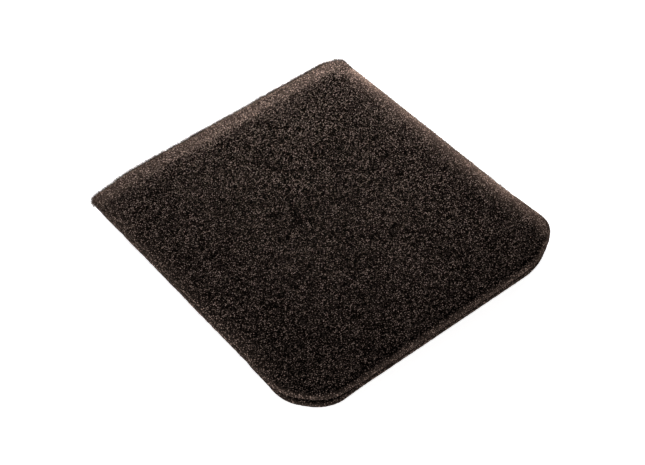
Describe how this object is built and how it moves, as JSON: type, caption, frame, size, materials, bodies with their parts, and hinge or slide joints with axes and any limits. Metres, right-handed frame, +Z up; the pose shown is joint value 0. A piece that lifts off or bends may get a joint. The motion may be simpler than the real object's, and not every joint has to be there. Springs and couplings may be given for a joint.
{
  "type": "foam air filter sleeve",
  "caption": "Flat pocket of open-cell foam, sealed along its sides and one end, that slides over a small engine's panel air filter as a washable pre-filter.",
  "frame": {"origin": "on the resting surface, under the middle of the sleeve's outline", "axes": "+Z up, out of the upper foam panel; +Y from the open mouth to the closed end; +X to the right as seen from above with the mouth nearest"},
  "size_m": [0.1592, 0.169, 0.011],
  "materials": {
    "foam": "matte",
    "melted_foam": "matte"
  },
  "bodies": {
    "root": {"upper_foam_panel": "foam", "lower_foam_panel": "foam", "left_side_weld": "melted_foam", "right_side_weld": "melted_foam", "closed_end_weld": "melted_foam"}
  },
  "joints": []
}
